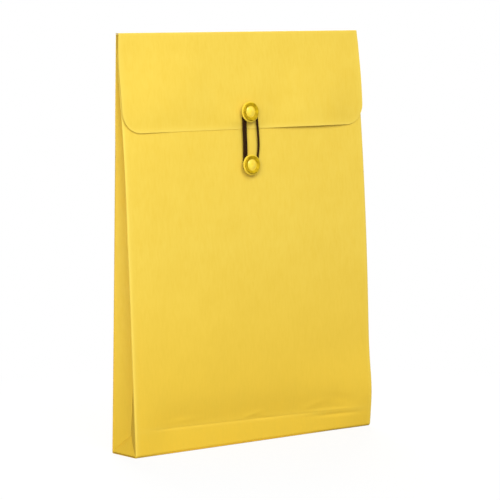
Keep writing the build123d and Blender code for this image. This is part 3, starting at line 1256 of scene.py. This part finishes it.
@dataclass
class TieButton:
    """A card disc with a dished brass ring on its face, turning under a domed rivet."""

    name: str
    carrier: Body
    disc_body: Body
    sheet: float
    finishes: Finishes
    radius: float = 8.4 * MM
    thickness: float = 1.0 * MM
    disc_low: float = 3.27 * MM
    disc_edge: float = 0.12 * MM
    rim_radius: float = 7.3 * MM
    rim_width: float = 2.6 * MM
    rim_wall: float = 0.3 * MM
    rim_rise: float = 1.4 * MM
    rim_edge: float = 0.06 * MM
    head_radius: float = 4.3 * MM
    head_height: float = 1.0 * MM
    rivet_edge: float = 0.08 * MM
    shank: float = 1.1 * MM
    bore: float = 0.6 * MM
    clinch: float = 2.1 * MM
    clinch_height: float = 0.4 * MM
    backing: float = 0.34 * MM
    play: float = 0.05 * MM
    spin_steps: int = 72
    dish_points: int = 8
    crown_points: int = 10
    sharp: float = 35

    @cached_property
    def placing(self) -> Matrix:
        """Finds the button's place, on its joint and facing along the joint's axis.

        Returns:
            What moves it there.
        """
        joint = joint_named(f"{self.name}_button_turn")
        axis = Vector(joint["axis"])
        turned = Matrix((ACROSS, axis.cross(ACROSS), axis)).transposed().to_4x4()
        return Matrix.Translation(joint["pos_m"]) @ turned

    @cached_property
    def disc_top(self) -> float:
        """Height of the disc's face out of the paper."""
        return self.disc_low + self.thickness

    def turned_piece(self, name: str, section: Sequence[Pair], rounding: float) -> Object:
        """Spins a section round the button's axis.

        Args:
            name: The piece's name.
            section: Its corners as radius and height, in order round the section.
            rounding: Radius of the corners off the axis.

        Returns:
            The piece, in its place.
        """
        use_only(None)
        bpy.ops.mesh.primitive_circle_add(vertices=len(section), radius=self.radius)
        piece = bpy.context.object
        piece.name = piece.data.name = name
        with editing(piece):
            bpy.ops.mesh.select_all(action="DESELECT")
            bpy.ops.object.mode_set(mode="OBJECT")
            for vertex, (radius, height) in zip(piece.data.vertices, section):
                vertex.co = (radius, 0, height)
                vertex.select = radius > rounding
            bpy.ops.object.mode_set(mode="EDIT")
            bpy.ops.mesh.bevel(offset=rounding, segments=3, affect="VERTICES")
        screw = piece.modifiers.new("turning", "SCREW")
        screw.steps = screw.render_steps = self.spin_steps
        screw.use_merge_vertices, screw.merge_threshold = True, 1e-6
        bpy.ops.object.modifier_apply(modifier=screw.name)
        with editing(piece):
            bpy.ops.mesh.normals_make_consistent(inside=False)
        piece.data.transform(self.placing)
        piece.data.update()
        return piece

    def disc_section(self) -> list[Pair]:
        """Returns the card disc's section."""
        inner, low, top = self.shank + self.play, self.disc_low, self.disc_top
        return [(inner, low), (self.radius, low), (self.radius, top), (inner, top)]

    def rim_section(self) -> list[Pair]:
        """Draws the ring: flat on the disc, upright outside, and dished in towards the rivet.

        Returns:
            Its section.
        """
        low, edge = self.disc_top + LAYER_GAP, self.disc_top + self.rim_rise
        inner, crest = self.rim_radius - self.rim_width, self.rim_radius - self.rim_wall
        slope = spread(edge, low + self.rim_wall, self.dish_points)
        dish = zip(spread(crest, inner, self.dish_points), slope)
        return [(inner, low), (self.rim_radius, low), (self.rim_radius, edge - self.rim_wall), *dish]

    def rivet_section(self) -> list[Pair]:
        """Draws the rivet: a domed head, a shank, and a hollow tail clinched behind the paper.

        Returns:
            Its section.
        """
        head_low = self.disc_top + self.play
        head_top = head_low + self.head_height
        dome = (self.head_radius**2 + self.head_height**2) / (2 * self.head_height)
        half = math.degrees(math.asin(self.head_radius / dome))
        crown = [(run, head_top - drop) for run, drop in arc(dome, spread(half, 0.0, self.crown_points))]
        tail_top = -self.sheet - self.backing
        tail_low = tail_top - self.clinch_height
        tail = [(self.bore, tail_low), (self.clinch, tail_low), (self.clinch, tail_top)]
        return [(0.0, 0.0), (self.bore, 0.0), *tail, (self.shank, tail_top), (self.shank, head_low), *crown]

    def build(self) -> list[Object]:
        """Models the disc, its ring and its rivet, and dresses them, the spacer and the backing washer.

        Returns:
            The five pieces.
        """
        looks, disc, paper = self.finishes, self.disc_body, self.carrier
        pieces = []
        for word, section, edge, finish, slot, node, body in (
            ("disc", self.disc_section(), self.disc_edge, looks.card, Slot.BUTTON_FACE, "button", disc),
            ("rim", self.rim_section(), self.rim_edge, looks.rim, Slot.BUTTON_RIM, "button_rim", disc),
            ("rivet", self.rivet_section(), self.rivet_edge, looks.lacquer, Slot.RIVET, "rivet", paper),
        ):
            piece = self.turned_piece(f"{self.name}_tie_{word}", section, edge)
            pieces.append(settle(piece, finish, slot, f"{self.name}_{node}", body=body, sharp=self.sharp))
        for node, finish in (("spacer", looks.collar), ("backing_washer", looks.backing)):
            pieces.append(dress(frame["nodes"][f"{self.name}_{node}"], finish))
        return pieces


@dataclass
class TieString:
    """The string: tied under the upper button, once round both, and back down to the lower one."""

    finish: Material
    diameter: float = 2.0 * MM
    height: float = 1.62 * MM
    anchor_start: float = 1.65 * MM
    anchor_drop: float = math.radians(50)
    anchor_ease: float = 0.1 * MM
    anchor_run: float = 6 * MM
    pair_gap: float = 2.2 * MM
    pair_top: float = 4.6 * MM
    pair_low: float = 5.05 * MM
    pair_waist: float = 0.75 * MM
    right_low: float = 7.4 * MM
    right_top: float = 8.1 * MM
    right_slack: tuple[Pair, ...] = (
        (8.3 * MM, -13 * MM),
        (9.3 * MM, -7 * MM),
        (9.2 * MM, -1 * MM),
        (9.0 * MM, 5 * MM),
        (8.5 * MM, 11 * MM),
    )
    bow_degrees: float = 4
    tail_degrees: float = 50
    lead: float = 12 * MM
    gathered: float = 0.15
    plies: int = 3
    ply_radius: float = 0.53 * MM
    ply_sides: int = 8
    twist_length: float = 6.0 * MM
    ring_gap: float = 0.3 * MM
    resolution: int = 48
    sharp: float = 60

    def __post_init__(self) -> None:
        """Finds the plane that the string lies in, between the two buttons."""
        joints = [joint_named(f"{name}_button_turn") for name in ("upper", "lower")]
        self.top, self.bottom = (Vector(j["pos_m"]) + Vector(j["axis"]) * self.height for j in joints)
        self.up = (self.top - self.bottom).normalized()
        self.reach = (self.top - self.bottom).length / 2

    def turn(self, centre: float, radius: float, start: float, stop: float, count: int = 4) -> list[Pair]:
        """Places points round a button, just outside the circle that their curve follows.

        Args:
            centre: Height of the turn's centre over the middle.
            radius: The turn's radius.
            start: First angle, in degrees.
            stop: Last angle.
            count: How many points.

        Returns:
            The points.
        """
        step = math.radians(stop - start) / count
        angles = [math.radians(start) + step * (i + 0.5) for i in range(count)]
        out = radius / math.cos(step / 2)
        return [(out * math.cos(a), centre + out * math.sin(a)) for a in angles]

    def route(self) -> list[Pair]:
        """Lays the string in its plane.

        Returns:
            Its points, from its knot to its end.
        """
        reach, lead, half_gap = self.reach, self.lead, self.pair_gap / 2
        outer_top, outer_low = self.pair_top + half_gap, self.pair_low + half_gap
        inner_top, inner_low = self.pair_top - half_gap, self.pair_low - half_gap
        cos_drop, sin_drop = math.cos(self.anchor_drop), math.sin(self.anchor_drop)
        start, out = self.anchor_start, self.anchor_start + self.diameter
        end = math.radians(180 + self.tail_degrees)
        cos_end, sin_end = math.cos(end), math.sin(end)
        return [
            (-start * cos_drop, reach - start * sin_drop),
            (-out * cos_drop, reach - out * sin_drop),
            (self.anchor_ease - inner_top, reach - self.anchor_run),
            (-inner_top, reach - lead),
            (self.pair_waist - inner_low, lead - reach),
            *self.turn(-reach, inner_low, 180, 270),
            *self.turn(self.right_low - inner_low - reach, self.right_low, 270, 360 - self.bow_degrees),
            *self.right_slack,
            *self.turn(reach + outer_top - self.right_top, self.right_top, self.bow_degrees, 90),
            *self.turn(reach, outer_top, 90, 180),
            (-outer_top, reach - lead),
            (self.pair_waist - outer_low, lead - reach),
            *self.turn(-reach, outer_low, 180, 180 + self.tail_degrees, count=3),
            (
                outer_low * cos_end - self.diameter * sin_end,
                outer_low * sin_end + self.diameter * cos_end - reach,
            ),
        ]

    def centreline(self) -> np.ndarray:
        """Reads the string's smooth line from a spline with the route's points.

        Returns:
            Even points along it.
        """
        curve = bpy.data.curves.new("string_route", "CURVE")
        curve.dimensions = "3D"
        curve.resolution_u = self.resolution
        spline = curve.splines.new("NURBS")
        route, middle = self.route(), (self.top + self.bottom) / 2
        spline.points.add(len(route) - 1)
        for knot, (x, y) in zip(spline.points, route):
            knot.co = (*(middle + ACROSS * x + self.up * y), 1)
        spline.order_u = 3
        spline.use_endpoint_u = True
        holder = bpy.data.objects.new("string_route", curve)
        line = bpy.data.meshes.new_from_object(holder)
        read = np.array([vertex.co for vertex in line.vertices], float)
        bpy.data.objects.remove(holder)
        bpy.data.meshes.remove(line)
        bpy.data.curves.remove(curve)
        lengths = np.concatenate(([0.0], np.cumsum(np.linalg.norm(np.diff(read, axis=0), axis=1))))
        even = np.linspace(0, lengths[-1], round(lengths[-1] / self.ring_gap) + 1)
        return np.stack([np.interp(even, lengths, read[:, axis]) for axis in range(3)], axis=1)

    def twist(self, line: np.ndarray) -> tuple[list[np.ndarray], list[tuple[int, ...]]]:
        """Lays the plies round the string's line.

        Args:
            line: Even points along it.

        Returns:
            The corners and the faces of their mesh.
        """
        sides, face = self.ply_sides, np.array(ACROSS.cross(self.up))
        ahead = np.gradient(line, axis=0)
        across = np.cross(ahead / np.linalg.norm(ahead, axis=1)[:, None], face)
        rounds = np.arange(sides)[:, None] * math.tau / sides
        ring = self.ply_radius * (np.cos(rounds) * across[:, None] + np.sin(rounds) * face)
        run = np.arange(len(line))[:, None] * self.ring_gap * math.tau / self.twist_length
        off = self.diameter / 2 - self.ply_radius
        corners, faces = [], []
        for ply in range(self.plies):
            angle = run + ply * math.tau / self.plies
            core = line + off * (np.cos(angle) * across + np.sin(angle) * face)
            first = len(corners)
            corners.extend((core[:, None] + ring).reshape(-1, 3))
            last = len(corners) - sides
            for low in range(first, last, sides):
                pairs = [(low + i, low + (i + 1) % sides) for i in range(sides)]
                faces.extend((i, j, j + sides, i + sides) for i, j in pairs)
            faces.append(tuple(reversed(range(first, first + sides))))
            faces.append(tuple(range(last, last + sides)))
        return corners, faces

    def build(self) -> list[Object]:
        """Models the string's twisted plies along its line, and dresses them.

        Returns:
            The string.
        """
        line = self.centreline()
        corners, faces = self.twist(line)
        mesh = bpy.data.meshes.new("wound_string")
        mesh.from_pydata(corners, [], faces)
        piece = bpy.data.objects.new("wound_string", mesh)
        bpy.context.scene.collection.objects.link(piece)
        with editing(piece):
            bpy.ops.mesh.normals_make_consistent(inside=False)
        settle(piece, self.finish, Slot.STRING, "tie_string", body=Body.FLAP, sharp=self.sharp)
        tuple(self.up)
        tuple(self.top)
        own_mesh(piece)
        return [piece]


@dataclass(frozen=True)
class Lamp:
    """A soft square white lamp."""

    name: str
    place: Point
    size: float
    power: float

    def build(self, target: Vector) -> None:
        """Hangs the lamp.

        Args:
            target: Where it looks.
        """
        light = bpy.data.lights.new(self.name, "AREA")
        light.size, light.energy = self.size, self.power
        holder = bpy.data.objects.new(self.name, light)
        holder.location = self.place
        holder.rotation_euler = (target - Vector(self.place)).to_track_quat("-Z", "Y").to_euler()
        bpy.context.scene.collection.objects.link(holder)


@dataclass
class Studio:
    """A white floor and surround, soft lamps, and the photograph's camera."""

    height: float
    yaw: float = math.radians(37.706)
    pitch: float = math.radians(5.313)
    roll: float = math.radians(-0.642)
    distance: float = 1951.849 * MM
    offset_right: float = 6.319 * MM
    offset_up: float = -10.6 * MM
    focal_pixels: float = 2400
    image_pixels: float = 500
    sensor: float = 36
    ambient: float = 0.36
    floor_size: float = 8.0
    floor_roughness: float = 0.9
    floor_grey: Colour = (0.25, 0.25, 0.25, 1.0)
    floor_pale: Colour = (0.95, 0.95, 0.95, 1.0)
    floor_glow: Pair = (0.86, 1.0)
    floor_fade: Pair = (0.16, 0.42)
    lamps: tuple[Lamp, ...] = (
        Lamp("key_lamp", (-1.12, -1.0, 0.65), 0.75, 13.1),
        Lamp("top_lamp", (-0.4, -2.6, 2.3), 2.0, 60.0),
        Lamp("back_lamp", (0.9, 1.5, 1.1), 1.2, 38.0),
    )

    @cached_property
    def middle(self) -> Vector:
        """The middle of the envelope."""
        return Vector((0, 0, self.height / 2))

    def build_world(self) -> None:
        """Makes the surround white to look at, and a plain soft light."""
        world = bpy.data.worlds.new("surround")
        world.use_nodes = True
        board = NodeBoard(world.node_tree)
        glow = board.stretch(board.seen(), 0.0, 1.0, new_low=self.ambient)
        board.fill(board.tree.nodes["Background"], Color=(1, 1, 1, 1), Strength=glow)
        bpy.context.scene.world = world

    def build_floor(self) -> None:
        """Lays a white floor that keeps a soft shadow."""
        use_only(None)
        bpy.ops.mesh.primitive_plane_add(size=self.floor_size)
        floor = bpy.context.object
        floor.name = "studio_floor"
        material, board, shader, vector = new_material("studio_white")
        white = board.mix(board.seen(), self.floor_grey, self.floor_pale)
        board.fill(shader, Base_Color=white, Roughness=self.floor_roughness, Specular_IOR_Level=0.0)
        away = board.node("ShaderNodeVectorMath", vector, operation="LENGTH").outputs["Value"]
        pale = board.stretch(away, *self.floor_fade, *self.floor_glow)
        share = board.calc("MULTIPLY", board.seen(), pale)
        glow = board.node("ShaderNodeEmission").outputs["Emission"]
        blend = board.node("ShaderNodeMixShader", share, shader.outputs["BSDF"], glow)
        board.fill(board.tree.nodes["Material Output"], Surface=blend.outputs["Shader"])
        dress(floor, material)

    def build_camera(self) -> None:
        """Sets the camera where the photograph was taken."""
        level = math.cos(self.pitch)
        ahead = Vector((math.sin(self.yaw) * level, math.cos(self.yaw) * level, -math.sin(self.pitch)))
        flat_right = Vector((math.cos(self.yaw), -math.sin(self.yaw), 0))
        flat_up = flat_right.cross(ahead)
        right = flat_right * math.cos(self.roll) + flat_up * math.sin(self.roll)
        up = flat_up * math.cos(self.roll) - flat_right * math.sin(self.roll)
        place = self.middle - ahead * self.distance + right * self.offset_right + up * self.offset_up
        camera = bpy.data.objects.new("camera", bpy.data.cameras.new("camera"))
        camera.data.sensor_width = self.sensor
        camera.data.lens = self.focal_pixels / self.image_pixels * self.sensor
        camera.matrix_world = Matrix.Translation(place) @ Matrix((right, up, -ahead)).transposed().to_4x4()
        bpy.context.scene.collection.objects.link(camera)
        bpy.context.scene.camera = camera

    def build(self) -> None:
        """Builds the camera, the light and the floor."""
        self.build_camera()
        self.build_world()
        self.build_floor()
        for lamp in self.lamps:
            lamp.build(self.middle)
        bpy.context.scene.view_settings.view_transform = "Standard"


def main() -> None:
    """Builds the studio and the envelope's pieces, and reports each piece."""
    logging.basicConfig(level=logging.INFO, format="%(name)s: %(message)s")
    form = EnvelopeForm.from_frame()
    relief = FrontRelief(form)
    finishes = Finishes.mix_all()
    kraft = finishes.kraft
    Studio(form.height).build()
    for assembly in (
        TieString(finishes.thread),
        FrontWall(form, kraft, relief),
        ClosingFlap(form, kraft, relief),
        BackWall(form, kraft),
        SideGusset(form, kraft, relief, Side.LEFT),
        SideGusset(form, kraft, relief, Side.RIGHT),
        BlockBottom(form, kraft),
        TieButton("upper", Body.FLAP, Body.UPPER_DISC, form.sheet, finishes),
        TieButton("lower", Body.FRONT, Body.LOWER_DISC, form.sheet, finishes),
    ):
        for piece in assembly.build():
            log.info("%s: %s in %s", type(assembly).__name__, piece.name, piece.data.materials[0].name)


if __name__ == "__main__":
    main()
